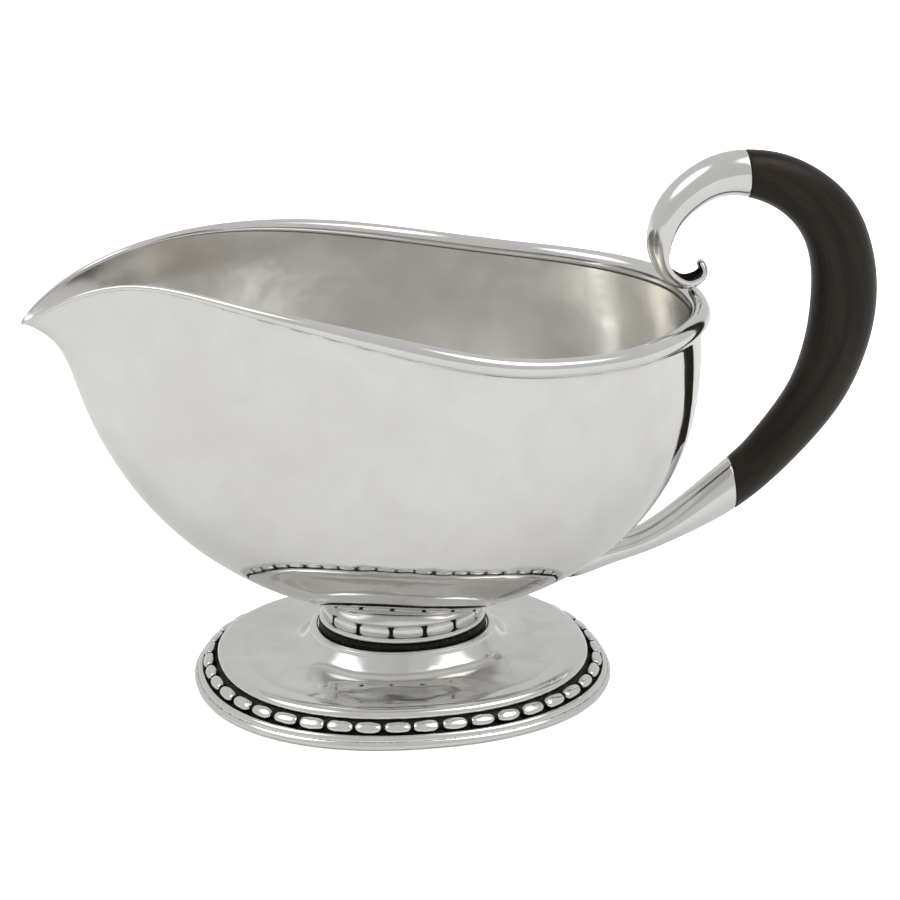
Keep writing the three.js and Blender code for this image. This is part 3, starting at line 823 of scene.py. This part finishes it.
def channel(stations, turn):
    """Open channel between two lips along the scroll's inner side, sunk by shares of half the thickness.

    Also returns how far across the channel each point is, 1 being its edge.
    """
    open_part = smoothstep(stations, 0.9, 2.2) * (1 - smoothstep(stations, 5.0, 8.4))
    depth = (0.95 * open_part + 0.13) * (1 - smoothstep(stations, *CHANNEL_END))
    half_angle = lerp(0.22, 1.0, open_part)
    lips = 0.22 * smoothstep(stations, 1.2, 2.6) * (1 - smoothstep(stations, 4.2, 7.0))
    aside = np.abs(turn - math.pi)[None, :]
    across = aside / half_angle[:, None]
    lift = lips[:, None] * np.exp(-((aside - 1.2) / 0.26)**2)
    return depth[:, None] * np.exp(-across**6) - lift, across


def make_scroll():
    """Silver scroll: a hollow socket for the grip at one end, curling to a small hook at the other."""
    end = UPPER_JOINT - 0.02
    seat = end - TENON_LENGTH - 0.01
    shaft = np.linspace(0.42, end - 0.05, 150)
    stations = np.array([0.0, 0.03, 0.08, 0.16, 0.28, *shaft, end - 0.02, end])
    scales = [0.12, 0.42, 0.66, 0.84, 0.95, *np.ones(len(shaft)), 0.995, 0.975]
    fine = math.pi + np.sinh(np.linspace(-1, 1, 57)[1:-1] * 3.0) / math.sinh(3.0) * math.pi * 0.75
    coarse = even_turns(64)
    turn = np.concatenate([coarse[coarse < fine[0]], fine, coarse[coarse > fine[-1]]])
    sunk, across = channel(stations, turn)
    dark = (1 - smoothstep(across, 1.05, 1.22)) * smoothstep(stations, 0.7, 1.5)[:, None]
    dark = dark * (1 - smoothstep(stations, *CHANNEL_END))[:, None]
    seat_stations = [end, *np.linspace(end - 0.02, seat, 6), seat]
    seat_scales = [0.8, *[SEAT_SCALE] * 6, 0.1]
    rings = sections(stations, scales, turn, sunk) + sections(seat_stations, seat_scales, turn)
    points, faces = skin(rings)
    patina_and_shade = np.zeros(len(points))
    patina_and_shade[:dark.size] = dark.ravel()
    make_piece("upper_scroll", within(points, "upper_scroll"), faces, [HANDLE_SILVER],
               ["upper_scroll"], attributes={"patina_and_shade": patina_and_shade})


def make_lower_socket(bowl_outside):
    """Tapering silver socket from the grip to the bowl's underside, where it ends in a soldered toe."""
    start = LOWER_JOINT + 0.02
    seat = start + TENON_LENGTH + 0.01
    body = np.linspace(start + 0.1, len(HANDLE) - 1, 90)
    stations = [seat, seat, *np.linspace(seat, start + 0.02, 6),
                start, start, start + 0.02, start + 0.05, *body]
    scales = [0.1, *[SEAT_SCALE] * 7, 0.8, 0.975, 0.995, 1.0, *np.ones(len(body))]
    rings = sit_on_bowl(np.array(sections(stations, scales, even_turns(64))), bowl_outside)
    points, faces = skin(rings)
    make_piece("lower_socket", points, faces, [HANDLE_SILVER], ["lower_socket"],
               attributes={"patina_and_shade": np.zeros(len(points))})


def sit_on_bowl(rings, bowl_outside, bite=0.5):
    """Draws points that would enter the bowl's wall back to just under its outside."""
    flat = bowl_outside.reshape(-1, 3)
    normals = grid_normals(bowl_outside).reshape(-1, 3)
    moved = rings.copy()
    for ring in moved:
        gaps = np.linalg.norm(flat[None] - ring[:, None], axis=2)
        nearest = gaps.argmin(axis=1)
        height = ((ring - flat[nearest]) * normals[nearest]).sum(axis=1)
        ring += normals[nearest] * np.clip(-bite - height, 0, None)[:, None]
    return moved


def make_pin(name, station):
    """Handle pin driven in from the far side, with a slightly domed head filed flush with the socket."""
    middles, _, widths = handle_at([station])
    middle, width = middles[0], widths[0]
    radii = [PIN_RADIUS * r for r in (0.96, 1.0, 1.0, 0.98, 0.9, 0.7, 0.4)]
    tip = -(width * TENON_SCALE + 0.9)
    heights = [tip, tip + 0.1, *(width - sunk for sunk in (0.3, 0.12, 0.06, 0.03, 0.015))]
    turn = even_turns(40)
    rings = []
    for r, y in zip(radii, heights):
        level = np.full(len(turn), y)
        rings.append(middle + np.stack([r * np.cos(turn), level, r * np.sin(turn)], axis=1))
    points, faces = skin(rings)
    patina_and_shade = np.append(np.repeat([1, 1, 1, 0.75, 0.3, 0, 0], len(turn)), [0, 0])
    make_piece(name, points, faces, [CAST_SILVER], [name],
               attributes={"patina_and_shade": patina_and_shade}, sharp=60)


# ---------------------------------------------------------------- stage, light and camera
def place(point):
    """The frame's place, in metres, of a point in this script's millimetres."""
    return Vector((np.asarray(point, float) + FOOT_CENTRE) * MM)


def make_floor():
    """Plain floor, with one tone as the camera sees it and another in the silver's reflections."""
    mesh = bpy.data.meshes.new("floor")
    corners = [(x * FLOOR_HALF * MM, y * FLOOR_HALF * MM, -FLOOR_DROP * MM)
               for x, y in ((-1, -1), (1, -1), (1, 1), (-1, 1))]
    mesh.from_pydata(corners, [], [(0, 1, 2, 3)])
    material, tree, surface = new_material("pale_floor")
    seen = add_node(tree, "ShaderNodeLightPath").outputs["Is Camera Ray"]
    colour = blend_colour(tree, seen, FLOOR_MIRRORED, FLOOR_SEEN)
    matt = add_node(tree, "ShaderNodeBsdfDiffuse", {"Color": colour})
    tree.nodes.remove(surface)
    tree.links.new(matt.outputs[0], tree.nodes["Material Output"].inputs["Surface"])
    mesh.materials.append(material)
    floor = bpy.data.objects.new("floor", mesh)
    bpy.context.scene.collection.objects.link(floor)


def from_camera(azimuth, elevation):
    """A direction from the boat: azimuth from the camera's side, to its right, in degrees."""
    side = math.radians(CAMERA_AZIMUTH + azimuth)
    lift = math.radians(elevation)
    return (math.sin(side) * math.cos(lift), -math.cos(side) * math.cos(lift), math.sin(lift))


def light_studio():
    """A white tent, dimmer towards the camera, with soft lamps; the camera sees it plain white."""
    world = bpy.data.worlds.new("studio")
    bpy.context.scene.world = world
    world.use_nodes = True
    tree = world.node_tree
    direction = add_node(tree, "ShaderNodeTexCoord").outputs["Generated"]

    def facing(azimuth, elevation):
        return add_node(tree, "ShaderNodeVectorMath", {0: direction, 1: from_camera(azimuth, elevation)},
                        operation="DOT_PRODUCT").outputs[1]

    tent = spread(tree, facing(0, 14), -0.3, 1.0, *TENT)
    for azimuth, elevation, width, feather, radiance in LAMPS:
        edge = math.cos(math.radians(width + feather))
        full = math.cos(math.radians(max(width - feather, 0)))
        glow = add_node(tree, "ShaderNodeMapRange", {
            "Value": facing(azimuth, elevation), "From Min": edge, "From Max": full, "To Max": radiance,
        }, interpolation_type="SMOOTHSTEP").outputs["Result"]
        tent = arithmetic(tree, "ADD", tent, glow)
    seen = add_node(tree, "ShaderNodeLightPath").outputs["Is Camera Ray"]
    background = tree.nodes["Background"]
    strength = add_node(tree, "ShaderNodeMix", {0: seen, 2: tent, 3: 1.0}, data_type="FLOAT").outputs[0]
    background.inputs["Color"].default_value = (1.0, 1.0, 1.0, 1)
    tree.links.new(strength, background.inputs["Strength"])
    bpy.context.scene.view_settings.view_transform = "Standard"


def make_camera():
    lens = bpy.data.cameras.new("camera")
    lens.sensor_width = SENSOR
    lens.lens = SENSOR * CAMERA_DISTANCE / FIELD_WIDTH
    lens.clip_start, lens.clip_end = 0.01, 50
    camera = bpy.data.objects.new("camera", lens)
    back = Vector(from_camera(0, CAMERA_ELEVATION))
    camera.location = place(CAMERA_TARGET) + back * CAMERA_DISTANCE * MM
    camera.rotation_mode = "QUATERNION"
    camera.rotation_quaternion = back.to_track_quat("Z", "Y")
    bpy.context.scene.collection.objects.link(camera)
    bpy.context.scene.camera = camera


# ---------------------------------------------------------------- the whole
make_camera()
rim_points = rim_loop()
bowl_outside = make_bowl(rim_points)
make_rim_wire(rim_points)
make_foot()
make_neck(bowl_outside)
make_grip()
make_scroll()
make_lower_socket(bowl_outside)
make_pin("upper_pin", UPPER_JOINT - TENON_LENGTH / 2)
make_pin("lower_pin", LOWER_JOINT + TENON_LENGTH / 2)
make_floor()
light_studio()
